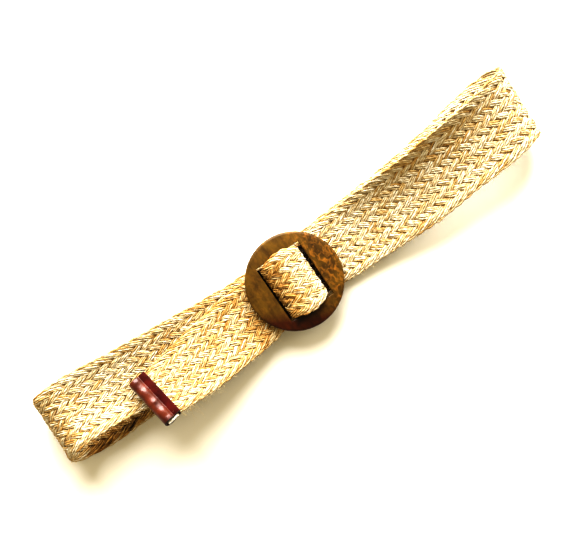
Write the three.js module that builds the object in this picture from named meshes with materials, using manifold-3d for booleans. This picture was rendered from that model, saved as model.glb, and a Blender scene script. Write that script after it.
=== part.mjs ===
// A braided jute waist belt with a round wooden slide buckle, fastened and lying on a table.
// Millimetres, +Z up, +X along the belt from the tip towards the plain end, +Y across it.
// The table is the plane z = 0. While it is being built, x = y = 0 is the middle of the buckle.

import * as THREE from "three";
import { mergeVertices } from "three/addons/utils/BufferGeometryUtils.js";
import Module from "manifold-3d";

const wasm = await Module();
wasm.setup();

// The braided strap
const SELVEDGE = 2.4; // how far in from each edge the strap thins out
const SELVEDGE_SHARE = 0.55; // its thickness at the very edge, as a share of the full one
const PROFILE_COLUMNS = 6; // facets across each face of the strap

// The wooden buckle
const DISC_DIAMETER = 76;
const DISC_THICK = 6.5;
const DISC_EDGE_RADIUS = 2.2;
const DISC_SIDES = 72;
const DISC_UNDERSIDE = 15.5; // height of its back above the table, at its middle
const DISC_TILT = 5; // degrees, the far rim higher than the near one
const OPENING_LONG = 48; // across the strap
const OPENING_SHORT = 38.6; // along the strap
const BAR_WIDE = 17;
const BAR_THICK = 3.2;
const BAR_EDGE_RADIUS = 1.2;
const BAR_ROOT = 2; // how far the bar runs into the disc at each end

// The leather tip over its metal clip
const CLIP_METAL = 0.7;
const CLIP_LONG = 41; // across the strap
const CLIP_DEEP = 8; // along the strap
const CLIP_LIP = 0.8;
const LEATHER_THICK = 1.2;
const LEATHER_LONG = 40.5;
const TUBE_RADIUS = 5; // outside of the rolled nose
const FLANGE_END = 15; // from the nose to the edge of the flap
const FLANGE_RISE = 3.7; // outside of the flap above the strap's middle
const FLANGE_DIP = 0.3; // how much lower its free edge lies
const TIP_THICK = 2.4; // the braid where the clip bites it
const GAP = 0.3;
const CLIP_SHIFT = 0.9; // how far the clip looks out at the near end
const NOSE_MIDDLE = -1.2; // centre of the rolled nose, from the strap's end
const NOSE_SWEEP = THREE.MathUtils.degToRad(126); // of the nose on each side of its front
const NOSE_SIDES = 10; // facets of the nose on each side of its front
const VALLEY_STEP = 0.4; // from the back of the nose to the start of the flap

const EDGE_FACETS = 4; // across each rounded edge of the wood
const WELD_WITHIN = 1e-4;

// One row for each section of the strap, from its sewn end to its tip: x, y, z of its middle,
// width, thickness, tilt (degrees, how far its +Y edge is raised), cup (how far both edges
// stand out of the middle, towards the loop's outside) and curl (how much further the +Y edge
// alone curls up, where it does).
const COLUMNS = ["x", "y", "z", "wide", "thick", "tilt", "cup", "curl"];
const CURL_POWER = 3; // how sharply the curl keeps to the edge

function namedRows(rows) {
  return rows.map((row) => Object.fromEntries(COLUMNS.map((name, i) => [name, row[i] ?? 0])));
}

// Rows given in the buckle's own frame, where z = 0 is its back.
function rowsOnBuckle(rows) {
  const turn = THREE.MathUtils.degToRad(DISC_TILT);
  return namedRows(rows).map((row) => ({
    ...row,
    y: row.y * Math.cos(turn) - row.z * Math.sin(turn),
    z: row.y * Math.sin(turn) + row.z * Math.cos(turn) + DISC_UNDERSIDE,
    tilt: row.tilt + DISC_TILT,
  }));
}

const STRAP_ROWS = [
  // the sewn end: under the bar, up the right slot, over the bar, down the left slot
  ...rowsOnBuckle([
    [-5.5, 0, -2, 45, 3.1, 0, 0],
    [2, 0, -2, 45, 3.1, 0, 0],
    [7.4, 0, -1.9, 45, 3.1, 0, 0],
    [9.9, 0, -0.5, 45, 3.1, 0, 0],
    [10.6, 0, 1.7, 45, 3.1, 0, 0],
    [9.9, 0, 4.1, 45, 3.1, 0, 0],
    [7.3, 0, 5.3, 45, 3.1, 0, 0],
    [0, 0, 5.4, 45, 3.1, 0, 0],
    [-7.3, 0, 5.3, 45, 3.1, 0, 0],
    [-9.9, 0, 4, 45, 3.1, 0, 0],
    [-10.7, 0, 1.3, 45, 3.1, 0, 0],
    [-11.1, 0, -1.8, 45, 3.1, 0, 0],
  ]),
  // the left side's upper layer, out to the left fold
  ...namedRows([
    [-12.7, 0.3, 10.8, 45.3, 3.2, 4.5, 0],
    [-16, 0.4, 9, 46, 3.4, 4, 0],
    [-20.5, 0.6, 8.3, 47, 3.6, 3.5, 0],
    [-29, 1, 8, 48.5, 3.8, 3, 0],
    [-42, 2, 8, 50, 4, 3, 0.4],
    [-75, 4.2, 10, 51, 4, 4, 1.8],
    [-105, 6.6, 13.5, 51.5, 4, 6, 3.6],
    [-135, 9, 18.5, 51.5, 4, 7, 5.2],
    [-163, 11.9, 26, 51, 4, 7, 5.8],
    [-181, 13.3, 32.6, 51.5, 4, 6, 3.6],
    [-196, 12.6, 36.4, 51.6, 4, 4, 1.2],
    [-206.2, 10.6, 32.4, 50.6, 4, 2, 0.2],
    [-212.4, 9, 20, 52.4, 4, 0, 0],
    [-208, 5.2, 6.8, 54, 4, 0, 0],
    [-195.5, 3, 2.1, 54.2, 4, 0, 0],
  ]),
  // the lower layer, flat on the table, out to the right fold
  ...namedRows([
    [-182, 1.9, 2, 54.2, 4, 0, 0],
    [-151, 1.5, 2, 52, 4, 0, 0],
    [-60, 1.2, 2, 52, 4, 0, 0],
    [20, 2.6, 2, 54.4, 4, 0, 0],
    [69, 6.8, 2, 53, 4, 0, 0],
    [112, 9.6, 2, 53.4, 4, 0, 0],
    [155, 14.5, 2, 54.4, 4, 0, 0],
    [191, 20.4, 2, 56.8, 4, 0, 0],
    [206.5, 21, 3.4, 58.8, 4, 0, 0],
    [215.5, 20.1, 9.2, 59, 4, 0, 0],
    [219, 16.8, 19, 58.8, 4, 2, 0],
    [214.5, 14.3, 29.1, 59.2, 4, 8, 0.3, 0.6],
    [204.5, 12.5, 33.7, 59.6, 4, 11.5, 0.8, 2.5],
  ]),
  // the right side's upper layer, back to the buckle
  ...namedRows([
    [186, 9.4, 33.4, 60, 4, 12, 2, 5.5],
    [151, 6.8, 28.9, 58, 4, 12, 3.6, 8],
    [115, 3.8, 21.1, 58.5, 4, 11, 4, 7],
    [85, 3.3, 14, 56.5, 4, 8.5, 2.8, 4],
    [60, 2.8, 9, 54.5, 4, 4.5, 1.2, 1.5],
    [38, 2, 7.6, 52, 4, 3, 0.2],
    [25, 1.2, 7.9, 48, 3.8, 3.5, 0],
    [17, 0.6, 10, 45.5, 3.5, 4.5, 0],
  ]),
  // the free end: up the right slot, over the sewn end, down the left slot
  ...rowsOnBuckle([
    [14.3, 0, -1.4, 45, 3.2, 0, 0],
    [14.1, 0, 2.5, 45.5, 3.2, 0, 0],
    [13.3, 0, 6.2, 45.8, 3.2, 0, 0],
    [9.7, 0, 9, 49.5, 3.2, 0, 0],
    [3, 0, 9.9, 53, 3.2, 0, 0],
    [-5, 0, 9.7, 52.5, 3.2, 0, 0],
    [-12, 0, 8.2, 48, 3.2, 0, 0],
    [-16.1, 0, 4.8, 46, 3.2, 0, 0],
    [-16.7, 0, 1.9, 45.5, 3.2, 0, 0],
    [-16.7, 0, -0.6, 45.5, 3.2, 0, 0],
    [-18.8, 0, -2, 45.5, 3.3, -0.5, 0],
    [-22.5, 0, -2.6, 46.5, 3.5, -1, 0],
  ]),
  // and out over the left side to the leather tip
  ...namedRows([
    [-30, -2, 12.6, 50, 3.9, 4, 0],
    [-40, -3.8, 12.7, 52.4, 4, 3.5, 0.3],
    [-60, -6, 14.8, 52.2, 4, 2.5, 1.2],
    [-88, -9.4, 20.4, 49.8, 4, -2, 1.6],
    [-109, -11.2, 25.8, 45.4, 4, -7, 0.8],
    [-122, -12.1, 29.4, 42, 3.4, -10, 0],
    [-127, -12.3, 30.8, 38.2, TIP_THICK, -12, 0],
    [-137.5, -13.9, 33.6, 37.8, TIP_THICK, -12, 0],
  ]),
];

const STEP_FLAT = 9; // spacing of the strap's sections where it runs straight
const TURN_PER_STEP = THREE.MathUtils.degToRad(11); // most that it turns from one to the next
const LOOKS_PER_ROW = 40; // places between two rows where a section may fall
const LAST_STEP_LEAST = 0.2; // rows between the last two sections
const ROWS_IN_LEATHER = 2; // rows before the last one, each with a section of its own

const strapLine = new THREE.CatmullRomCurve3(
  STRAP_ROWS.map((row) => new THREE.Vector3(row.x, row.y, row.z)),
);

// The strap's middle, own directions and sizes at a row number, which may lie between two rows.
function strapFrame(rowNumber) {
  const last = STRAP_ROWS.length - 1;
  const low = Math.min(Math.floor(rowNumber), last - 1);
  const mixed = (name) =>
    THREE.MathUtils.lerp(STRAP_ROWS[low][name], STRAP_ROWS[low + 1][name], rowNumber - low);
  const middle = strapLine.getPoint(rowNumber / last);
  middle.z = Math.max(middle.z, mixed("thick") / 2); // the table holds it up
  const along = strapLine.getTangent(rowNumber / last);
  const tilt = THREE.MathUtils.degToRad(mixed("tilt"));
  const sideways = new THREE.Vector3(0, Math.cos(tilt), Math.sin(tilt));
  sideways.addScaledVector(along, -sideways.dot(along)).normalize();
  const out = sideways.clone().cross(along);
  return {
    middle,
    along,
    sideways,
    out,
    wide: mixed("wide"),
    thick: mixed("thick"),
    cup: mixed("cup"),
    curl: mixed("curl"),
  };
}

// Row numbers of the sections that are built: close together where the strap turns.
function strapStations() {
  const stations = [0];
  let travelled = 0;
  let turned = 0;
  let previous = strapFrame(0);
  const last = STRAP_ROWS.length - 1;
  const tipRows = Array.from({ length: ROWS_IN_LEATHER }, (_, i) => last - 1 - i);
  for (let i = 1; i <= last * LOOKS_PER_ROW; i++) {
    const here = strapFrame(i / LOOKS_PER_ROW);
    travelled += here.middle.distanceTo(previous.middle);
    turned += here.along.angleTo(previous.along);
    const isTipRow = tipRows.includes(i / LOOKS_PER_ROW);
    if (travelled >= STEP_FLAT || turned >= TURN_PER_STEP || isTipRow) {
      stations.push(i / LOOKS_PER_ROW);
      travelled = 0;
      turned = 0;
    }
    previous = here;
  }
  if (last - stations.at(-1) < LAST_STEP_LEAST) stations.pop();
  stations.push(last);
  return stations;
}

// The strap's outline in one section, anticlockwise seen against its run.
function strapRing(frame) {
  const half = frame.wide / 2;
  const shares = [-1];
  for (let i = 0; i <= PROFILE_COLUMNS; i++) {
    shares.push((1 - SELVEDGE / half) * ((2 * i) / PROFILE_COLUMNS - 1));
  }
  shares.push(1);
  const point = (share, side) => {
    const isEdge = Math.abs(share) === 1;
    const rise = frame.cup * share ** 2 + frame.curl * Math.max(share, 0) ** CURL_POWER;
    const depth = (frame.thick / 2) * (isEdge ? SELVEDGE_SHARE : 1);
    const place = frame.middle
      .clone()
      .addScaledVector(frame.sideways, share * half)
      .addScaledVector(frame.out, rise + side * depth);
    place.z = Math.max(place.z, 0); // the table stops it
    return place;
  };
  const outer = shares.map((share) => point(share, 1));
  const inner = shares.map((share) => point(share, -1));
  return [...outer, ...inner.reverse()];
}

// A closed solid through rings of equally many points, with a flat cap at each end.
function loft(rings) {
  const count = rings[0].length;
  const points = rings.flat();
  const triangles = [];
  for (let r = 0; r < rings.length - 1; r++) {
    for (let i = 0; i < count; i++) {
      const a = r * count + i;
      const b = r * count + ((i + 1) % count);
      triangles.push([a, b + count, a + count], [a, b, b + count]);
    }
  }
  for (const [first, forwards] of [
    [0, true],
    [(rings.length - 1) * count, false],
  ]) {
    // the cap is a strip between the ring's outer and inner points
    for (let i = 0; i < count / 2 - 1; i++) {
      const a = first + i;
      const b = first + i + 1;
      const c = first + count - 2 - i;
      const d = first + count - 1 - i;
      triangles.push(forwards ? [a, c, b] : [a, b, c], forwards ? [a, d, c] : [a, c, d]);
    }
  }
  return new THREE.BufferGeometry().setFromPoints(points).setIndex(triangles.flat());
}

function strapGeometry() {
  return loft(strapStations().map((at) => strapRing(strapFrame(at))));
}

// A rounded rectangle centred on the origin.
function roundedRectangle(wide, high, radius) {
  const x = wide / 2 - radius;
  const y = high / 2 - radius;
  const shape = new THREE.Shape();
  shape.absarc(x, y, radius, 0, Math.PI / 2);
  shape.absarc(-x, y, radius, Math.PI / 2, Math.PI);
  shape.absarc(-x, -y, radius, Math.PI, 1.5 * Math.PI);
  shape.absarc(x, -y, radius, 1.5 * Math.PI, 2 * Math.PI);
  return shape;
}

function toSolid(geometry) {
  const bare = geometry.clone();
  bare.deleteAttribute("normal");
  bare.deleteAttribute("uv");
  const merged = mergeVertices(bare, WELD_WITHIN);
  return new wasm.Manifold(
    new wasm.Mesh({
      numProp: 3,
      vertProperties: new Float32Array(merged.attributes.position.array),
      triVerts: new Uint32Array(merged.index.array),
    }),
  );
}

function toGeometry(solid) {
  const mesh = solid.getMesh();
  return new THREE.BufferGeometry()
    .setAttribute("position", new THREE.BufferAttribute(mesh.vertProperties, 3))
    .setIndex(new THREE.BufferAttribute(mesh.triVerts, 1));
}

// The buckle about its own middle: z = 0 is its back, +Z its face.
function buckleGeometry() {
  const r = DISC_EDGE_RADIUS;
  const rim = DISC_DIAMETER / 2 - r;
  const profile = [new THREE.Vector2(0, 0)];
  const edge = new THREE.Path();
  edge.absarc(rim, r, r, -Math.PI / 2, 0);
  edge.absarc(rim, DISC_THICK - r, r, 0, Math.PI / 2);
  profile.push(...edge.getPoints(EDGE_FACETS), new THREE.Vector2(0, DISC_THICK));
  const disc = new THREE.LatheGeometry(profile, DISC_SIDES).rotateX(Math.PI / 2);
  const opening = new THREE.BoxGeometry(OPENING_SHORT, OPENING_LONG, 3 * DISC_THICK);
  const barShape = roundedRectangle(BAR_WIDE, BAR_THICK, BAR_EDGE_RADIUS);
  const barLong = OPENING_LONG + 2 * BAR_ROOT;
  const bar = new THREE.ExtrudeGeometry(barShape, {
    depth: barLong,
    bevelEnabled: false,
    curveSegments: EDGE_FACETS,
  })
    .rotateX(Math.PI / 2)
    .translate(0, barLong / 2, BAR_THICK / 2);
  return toGeometry(toSolid(disc).subtract(toSolid(opening)).add(toSolid(bar)));
}

// The tip's pieces lie about the strap's end: +X runs on past the end, +Z is the outer face,
// and the section is drawn in x and z and extruded across the strap.
function tipPiece(shape, long) {
  return new THREE.ExtrudeGeometry(shape, { depth: long, bevelEnabled: false })
    .rotateX(Math.PI / 2)
    .translate(0, long / 2, 0);
}

// A folded metal channel that bites the last of the braid.
function clipGeometry() {
  const inside = TIP_THICK / 2 + GAP;
  const outside = inside + CLIP_METAL;
  const nose = GAP + CLIP_METAL;
  const shape = new THREE.Shape();
  shape.moveTo(nose, -outside);
  shape.lineTo(nose, outside);
  shape.lineTo(-CLIP_DEEP, outside);
  shape.lineTo(-CLIP_DEEP - CLIP_LIP, inside);
  shape.lineTo(GAP, inside);
  shape.lineTo(GAP, -inside);
  shape.lineTo(-CLIP_DEEP - CLIP_LIP, -inside);
  shape.lineTo(-CLIP_DEEP, -outside);
  shape.closePath();
  return tipPiece(shape, CLIP_LONG).translate(0, CLIP_SHIFT, 0);
}

// Leather rolled round the clip: a fat nose, then a flap lying along each face of the strap.
function leatherGeometry() {
  const flapEnd = NOSE_MIDDLE + TUBE_RADIUS - FLANGE_END;
  const valley = NOSE_MIDDLE - TUBE_RADIUS - VALLEY_STEP;
  const outer = [
    new THREE.Vector2(flapEnd, FLANGE_RISE - FLANGE_DIP),
    new THREE.Vector2(valley, FLANGE_RISE),
  ];
  const inner = [
    new THREE.Vector2(flapEnd, FLANGE_RISE - FLANGE_DIP - LEATHER_THICK),
    new THREE.Vector2(valley, FLANGE_RISE - LEATHER_THICK),
  ];
  const middle = new THREE.Vector2(NOSE_MIDDLE, 0);
  for (let i = 0; i <= NOSE_SIDES; i++) {
    const angle = NOSE_SWEEP * (1 - i / NOSE_SIDES);
    const direction = new THREE.Vector2(Math.cos(angle), Math.sin(angle));
    outer.push(middle.clone().addScaledVector(direction, TUBE_RADIUS));
    inner.push(middle.clone().addScaledVector(direction, TUBE_RADIUS - LEATHER_THICK));
  }
  const below = (list) =>
    list
      .slice(0, -1)
      .reverse()
      .map((p) => new THREE.Vector2(p.x, -p.y));
  const outline = [...outer, ...below(outer), ...[...inner, ...below(inner)].reverse()];
  return tipPiece(new THREE.Shape(outline), LEATHER_LONG);
}

function piece(name, geometry, look) {
  const mesh = new THREE.Mesh(geometry, new THREE.MeshStandardMaterial(look));
  mesh.name = name;
  return mesh;
}

const belt = new THREE.Group();

belt.add(
  piece("strap", strapGeometry(), { color: 0xcfa96a, roughness: 0.9, metalness: 0 }),
);

const buckle = new THREE.Group();
buckle.add(
  piece("buckle", buckleGeometry(), { color: 0x5a3210, roughness: 0.45, metalness: 0 }),
);
buckle.rotation.x = THREE.MathUtils.degToRad(DISC_TILT);
buckle.position.z = DISC_UNDERSIDE;
belt.add(buckle);

const tip = new THREE.Group();
tip.add(
  piece("tip_clip", clipGeometry(), { color: 0xc9c9c6, roughness: 0.3, metalness: 1 }),
  piece("tip_leather", leatherGeometry(), { color: 0x5b1712, roughness: 0.35, metalness: 0 }),
);
const end = strapFrame(STRAP_ROWS.length - 1);
const tipAcross = end.out.clone().cross(end.along);
tip.matrix.makeBasis(end.along, tipAcross, end.out).setPosition(end.middle);
tip.matrix.decompose(tip.position, tip.quaternion, tip.scale);
belt.add(tip);

// The origin is under the middle of the whole belt.
const part = new THREE.Group();
part.add(belt);
const box = new THREE.Box3().setFromObject(part, true);
belt.position.set(-(box.min.x + box.max.x) / 2, -(box.min.y + box.max.y) / 2, -box.min.z);

export default part;
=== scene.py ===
"""The look of a braided jute belt with a round wooden buckle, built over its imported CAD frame."""

import math
from collections import namedtuple

import bmesh
import bpy
import numpy as np
from mathutils import Matrix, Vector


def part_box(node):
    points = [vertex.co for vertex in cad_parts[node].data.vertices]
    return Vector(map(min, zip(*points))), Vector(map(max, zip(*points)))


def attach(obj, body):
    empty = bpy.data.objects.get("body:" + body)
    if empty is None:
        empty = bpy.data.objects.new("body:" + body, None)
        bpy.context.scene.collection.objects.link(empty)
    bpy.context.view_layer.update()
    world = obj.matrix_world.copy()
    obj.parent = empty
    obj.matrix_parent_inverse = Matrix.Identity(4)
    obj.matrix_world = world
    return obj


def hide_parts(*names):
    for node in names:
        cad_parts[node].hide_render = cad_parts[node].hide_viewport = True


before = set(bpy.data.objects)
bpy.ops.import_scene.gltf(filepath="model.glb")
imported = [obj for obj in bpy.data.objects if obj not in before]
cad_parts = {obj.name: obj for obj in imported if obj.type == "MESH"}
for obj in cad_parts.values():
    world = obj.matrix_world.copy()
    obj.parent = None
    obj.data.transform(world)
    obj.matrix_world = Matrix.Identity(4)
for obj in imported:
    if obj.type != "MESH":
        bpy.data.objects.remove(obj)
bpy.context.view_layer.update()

MM = 0.001

# The photograph's frame and the camera over the belt
PHOTO_WIDE = 570
PHOTO_HIGH = 557
DISC_PIXEL = (294.7, 281.3)  # where the middle of the buckle shows
MM_PER_PIXEL = 0.76  # at the buckle
CAMERA_HEIGHT = 500  # above the buckle, mm
CAMERA_ELEVATION = 88  # degrees above the table
BELT_ANGLE = 34.5  # the belt's rise to the right in the photograph, degrees
SENSOR_WIDE = 36

# The view is as bright and as hard in contrast as the photograph
EXPOSURE = 0.25
GAMMA = 0.65

FLOOR_HALF = 3.0  # metres

# The strap's rows: x, y, z of its middle, width, thickness, tilt, cup of both edges and, where
# there is one, curl of the far edge. Millimetres and degrees, with the middle of the buckle at
# x = y = 0. They are the CAD part's, but OVER_BAR starts up to 1.4 mm nearer its slot's edge.
ROW_LONG = 8  # numbers in a row that has a curl
TILT = 5  # the tilt's place in a row
CURL_POWER = 3
BELT_SHIFT = np.array([-3.699, -6.0644, 0.0])  # from there to the frame's origin
DISC_UNDERSIDE = 15.5
DISC_TILT = 5
DISC_THICK = 6.5
TIP_THICK = 2.4

SEWN_END = [  # in the buckle's own frame
    (-5.5, 0, -2, 45, 3.1, 0, 0),
    (2, 0, -2, 45, 3.1, 0, 0),
    (7.4, 0, -1.9, 45, 3.1, 0, 0),
    (9.9, 0, -0.5, 45, 3.1, 0, 0),
    (10.6, 0, 1.7, 45, 3.1, 0, 0),
    (9.9, 0, 4.1, 45, 3.1, 0, 0),
    (7.3, 0, 5.3, 45, 3.1, 0, 0),
    (0, 0, 5.4, 45, 3.1, 0, 0),
    (-7.3, 0, 5.3, 45, 3.1, 0, 0),
    (-9.9, 0, 4, 45, 3.1, 0, 0),
    (-10.7, 0, 1.3, 45, 3.1, 0, 0),
    (-11.1, 0, -1.8, 45, 3.1, 0, 0),
]
LOOPS = [
    # the left side's upper layer and the left fold
    (-12.7, 0.3, 10.8, 45.3, 3.2, 4.5, 0),
    (-16, 0.4, 9, 46, 3.4, 4, 0),
    (-20.5, 0.6, 8.3, 47, 3.6, 3.5, 0),
    (-29, 1, 8, 48.5, 3.8, 3, 0),
    (-42, 2, 8, 50, 4, 3, 0.4),
    (-75, 4.2, 10, 51, 4, 4, 1.8),
    (-105, 6.6, 13.5, 51.5, 4, 6, 3.6),
    (-135, 9, 18.5, 51.5, 4, 7, 5.2),
    (-163, 11.9, 26, 51, 4, 7, 5.8),
    (-181, 13.3, 32.6, 51.5, 4, 6, 3.6),
    (-196, 12.6, 36.4, 51.6, 4, 4, 1.2),
    (-206.2, 10.6, 32.4, 50.6, 4, 2, 0.2),
    (-212.4, 9, 20, 52.4, 4, 0, 0),
    (-208, 5.2, 6.8, 54, 4, 0, 0),
    (-195.5, 3, 2.1, 54.2, 4, 0, 0),
    # the lower layer and the right fold
    (-182, 1.9, 2, 54.2, 4, 0, 0),
    (-151, 1.5, 2, 52, 4, 0, 0),
    (-60, 1.2, 2, 52, 4, 0, 0),
    (20, 2.6, 2, 54.4, 4, 0, 0),
    (69, 6.8, 2, 53, 4, 0, 0),
    (112, 9.6, 2, 53.4, 4, 0, 0),
    (155, 14.5, 2, 54.4, 4, 0, 0),
    (191, 20.4, 2, 56.8, 4, 0, 0),
    (206.5, 21, 3.4, 58.8, 4, 0, 0),
    (215.5, 20.1, 9.2, 59, 4, 0, 0),
    (219, 16.8, 19, 58.8, 4, 2, 0),
    (214.5, 14.3, 29.1, 59.2, 4, 8, 0.3, 0.6),
    (204.5, 12.5, 33.7, 59.6, 4, 11.5, 0.8, 2.5),
    # the right side's upper layer
    (186, 9.4, 33.4, 60, 4, 12, 2, 5.5),
    (151, 6.8, 28.9, 58, 4, 12, 3.6, 8),
    (115, 3.8, 21.1, 58.5, 4, 11, 4, 7),
    (85, 3.3, 14, 56.5, 4, 8.5, 2.8, 4),
    (60, 2.8, 9, 54.5, 4, 4.5, 1.2, 1.5),
    (38, 2, 7.6, 52, 4, 3, 0.2),
    (25, 1.2, 7.9, 48, 3.8, 3.5, 0),
    (17, 0.6, 10, 45.5, 3.5, 4.5, 0),
]
OVER_BAR = [  # in the buckle's own frame
    (15.1, 0, -1.4, 44.6, 3.2, 0, 0),
    (15.3, 0, 2.5, 44.6, 3.2, 0, 0),
    (14.7, 0, 6.2, 44.8, 3.2, 0, 0),
    (10.8, 0, 9, 48.8, 3.2, 0, 0),
    (3.4, 0, 9.9, 53, 3.2, 0, 0),
    (-5, 0, 9.7, 52.5, 3.2, 0, 0),
    (-12, 0, 8.2, 48, 3.2, 0, 0),
    (-16.1, 0, 4.8, 46, 3.2, 0, 0),
    (-16.7, 0, 1.9, 45.5, 3.2, 0, 0),
    (-16.7, 0, -0.6, 45.5, 3.2, 0, 0),
    (-18.8, 0, -2, 45.5, 3.3, -0.5, 0),
    (-22.5, 0, -2.6, 46.5, 3.5, -1, 0),
]
FREE_END = [
    (-30, -2, 12.6, 50, 3.9, 4, 0),
    (-40, -3.8, 12.7, 52.4, 4, 3.5, 0.3),
    (-60, -6, 14.8, 52.2, 4, 2.5, 1.2),
    (-88, -9.4, 20.4, 49.8, 4, -2, 1.6),
    (-109, -11.2, 25.8, 45.4, 4, -7, 0.8),
    (-122, -12.1, 29.4, 42, 3.4, -10, 0),
    (-127, -12.3, 30.8, 38.2, TIP_THICK, -12, 0),
    (-137.5, -13.9, 33.6, 37.8, TIP_THICK, -12, 0),
]

# The braid: flat strands of parallel yarns, which pass over two and under two
STRANDS = 23
BRAID_WIDE = 49.4  # between the sharp turning points of a strand's middle, at the nominal width
TURN_ROUND = 3.0  # how far a strand's rounded turn stays inside its sharp one
TURN_SINK = 0.25  # how near its turn a strand comes down to the strap's middle, in columns
OVER_LEVEL = 1.7  # how level a strand lies while it passes over or under the others
YARNS = 3  # in a strand
YARN_APART = 1.22
YARN_APART_INSIDE = 0.84  # the share of that where a strand passes through the strap's middle
YARN_APART_OUTSIDE = 0.2  # and the share more where it lies on a face
YARN_HALF_WIDE = 0.8
YARN_WIDENS = (0.75, 1.1)  # limits of a yarn's own widening with the strap
YARN_HALF_THICK = 0.86
YARN_DROOP = 0.3  # how much lower a strand's outer yarns lie
BRAID_RISE = 1.0  # of a strand's middle above or below the strap's
EDGE_BEYOND = 0.1  # how far the outermost yarns reach past the strap's edge
BRAID_HALF = (
    BRAID_WIDE / 2 - TURN_ROUND + YARN_APART * (YARNS - 1) / 2 + YARN_HALF_WIDE - EDGE_BEYOND
)
NOMINAL_WIDE = 52.0
NOMINAL_THICK = 4.0
YARN_STEP = 1.5
YARN_SIDES = 6
YARN_PIECES = 5
CLEAR_OF_FLOOR = 0.02
PLIES = 2  # twisted together in a yarn
PLY_TURN = 5.0  # of the yarn's length for one turn of its plies, mm
PITCHES = [  # distance along the strap, and from one strand to the next there
    (0, 9.0),
    (250, 9.2),
    (660, 9.4),
    (850, 8.5),
    (960, 8.0),
    (1102, 7.7),
]
LEANS = [  # distance along the strap, and how much the braid's rows lean there
    (0, 0.0),
    (600, 0.0),
    (680, -0.22),
    (840, -0.22),
    (950, 0.0),
]

# How unevenly the yarns lie. Waves are how many add up, and the longest and the shortest, mm.
STRAND_WAVES = (4, 55, 12)
STRAND_SWAY = 0.15  # of a whole strand to the side, mm
STRAND_OPENS = 0.08  # the share by which its yarns part there
YARN_WAVES = (5, 30, 5)
YARN_DRIFT = 0.24  # of one yarn to the side, mm
YARN_LIFT = 0.22  # and up and down, mm
SWELL_WAVES = (5, 14, 4)
YARN_SWELL = 0.13  # the share by which a yarn's size changes
SHADE_WAVES = (5, 90, 14)
SHADE_SWING = 0.5  # of a yarn's lightness along it
SHADE_MEAN = 0.5

# Painted shade in the straw, and darker straw
SHADE_AND_BROWNING = [  # distance along the strap, and how much darker the straw is made there: painted shade on the left fold's turn and where the strap leaves the bar and the buckle, darker straw along the tail, and darker from 60 to 190 mm
    (60, 0.0),
    (80, 0.4),
    (150, 0.35),
    (190, 0.0),
    (225, 0.0),
    (250, 0.5),
    (278, 0.5),
    (290, 0.0),
    (957, 0.0),
    (964, 0.8),
    (976, 1.4),
    (1004, 0.85),
    (1016, 0.75),
    (1028, 0.35),
    (1107, 0.2),
]
SLOT_PAINTED_SHADE = 2.6  # painted shade on the straw in the buckle's slots, and where it grows and fades
SLOT_BELOW = (18.5, 4.0)
SLOT_ABOVE = (12.0, 2.0)
SLOT_FLOOR = 5.0  # no painted shade under this height
SLOT_BEYOND = 1.0  # how far past the opening's edges it reaches
SLOT_WITHIN = (22.0, 2.0)  # the layers under the slots are light again outside this
UNDER_LOOP_PAINTED_SHADE = 1.6  # and painted shade on the lower layer just inside the left loop's near edge
UNDER_LOOP_LEFT_OF = (-95.0, 25.0)
UNDER_LOOP_BELOW = (6.5, 3.0)
UNDER_LOOP_FROM = (-24.6, 3.0)
UNDER_LOOP_TO = (-8.0, 8.0)
HOLLOW_PAINTED_SHADE = 0.28  # and painted shade in the hollow on top of the right loop
HOLLOW_ABOVE = (8.0, 3.0)
HOLLOW_FROM = (75.0, 40.0)
HOLLOW_TO = (195.0, 30.0)
HOLLOW_NEAR = (8.0, 10.0)
HOLLOW_FAR = (36.0, 5.0)

# Loose fibres that stand out of the braid
FIBRES = 4200
FIBRE_SHARE_ON_EDGES = 0.5
FIBRE_RADIUS = 0.06
FIBRE_TAPER = 0.6  # the share of it that is gone at a fibre's end
FIBRE_LENGTHS = (1.2, 4.5)
FIBRE_STEPS = 3
FIBRE_SIDES = 3
FIBRE_UP = (0.3, 0.2, 0.93)  # a direction that hardly any fibre has
EDGE_PLACE = 0.97  # of the half width, where the fibres on the edges begin
EDGE_HEIGHT = 0.2  # of the thickness, out of the middle
EDGE_RISE = 0.3  # how much they lean out of the face
FACE_PLACE = 0.9  # the same for the fibres on the faces, which begin anywhere inside this
FACE_HEIGHT = 0.45
FACE_RISE = 0.7
FIBRE_SPREAD = 0.5  # of their directions
FIBRE_BEND = 0.35
CLEAR_OF_BUCKLE = 42.0  # no fibres nearer than this to the buckle's middle
LONG_FIBRES = 46  # by the near edge, close to the tip
LONG_FIBRE_LENGTHS = (3.0, 8.5)
LONG_FIBRE_STRETCH = (44.0, 11.0)  # how far before the strap's end they begin and stop
LONG_FIBRE_HEIGHTS = (-1.0, 1.0)
LONG_FIBRE_AWAY = (0.3, -1.0, -0.5)
LONG_FIBRE_SPREAD = 0.45
LONG_FIBRE_BEND = 0.45

# The wooden disc, in its own frame: x along the belt, y across it, z up from its underside
DISC_RADIUS = 38.0
DISC_EDGE = 2.2
FLAT_RADIUS = DISC_RADIUS - DISC_EDGE
DISC_FALL = 0.7  # how far the face falls away towards the rim
DISC_FALL_WIDE = 11.0
OPENING_ALONG = 38.6
OPENING_ACROSS = 48.0
OPENING_BEVEL = 0.35
DISC_SIDES = 180
FACE_RINGS = 12
BACK_RINGS = 6
RIM_STEPS = 6
DISC_SHARP = 38  # degrees between faces that meet in a sharp edge
BAR_WIDE = 17.0
BAR_THICK = 3.2
BAR_EDGE = 1.2
BAR_INTO_DISC = 1
BAR_SIDES = 24
BAR_RINGS = 9

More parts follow.
